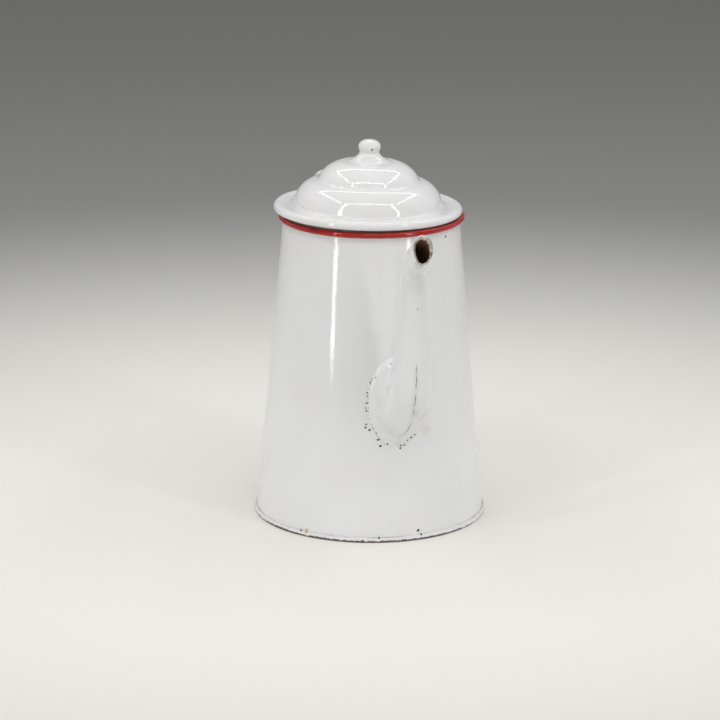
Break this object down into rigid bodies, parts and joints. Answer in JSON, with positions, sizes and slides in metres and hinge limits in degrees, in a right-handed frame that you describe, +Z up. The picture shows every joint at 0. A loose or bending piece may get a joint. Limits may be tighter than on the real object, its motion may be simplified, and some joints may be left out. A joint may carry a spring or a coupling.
{
  "type": "enamel coffee pot",
  "caption": "Tall conical enamelled steel coffee pot with a swan-neck spout, a strap handle and a stepped lid that swings up on a hinge over the handle.",
  "frame": {"origin": "middle of the foot ring on the resting plane, under the pot", "axes": "+Z up along the pot's own axis, spout towards -Y, handle and hinge towards +Y, hinge pin along X"},
  "size_m": [0.1489, 0.2435, 0.2428],
  "materials": {
    "white_enamel": "glossy",
    "red_enamel": "glossy",
    "bare_steel": "worn"
  },
  "bodies": {
    "pot": {"body_shell": "white_enamel", "rim_wire": "bare_steel", "base_plate": "white_enamel", "spout_left_half": "white_enamel", "spout_right_half": "white_enamel", "handle": "white_enamel", "handle_rivets": "white_enamel", "hinge_bracket": "white_enamel", "hinge_pin": "bare_steel"},
    "lid": {"lid_shell": "white_enamel", "lid_collar": "white_enamel", "lid_knob": "white_enamel", "hinge_leaf": "white_enamel", "lid_rivets": "bare_steel"}
  },
  "joints": [
    {"name": "lid_hinge", "type": "hinge", "parent": "pot", "child": "lid", "pos_m": [0, 0.0644, 0.2005], "axis": [-1, 0, 0], "range_deg": [0, 144]}
  ]
}
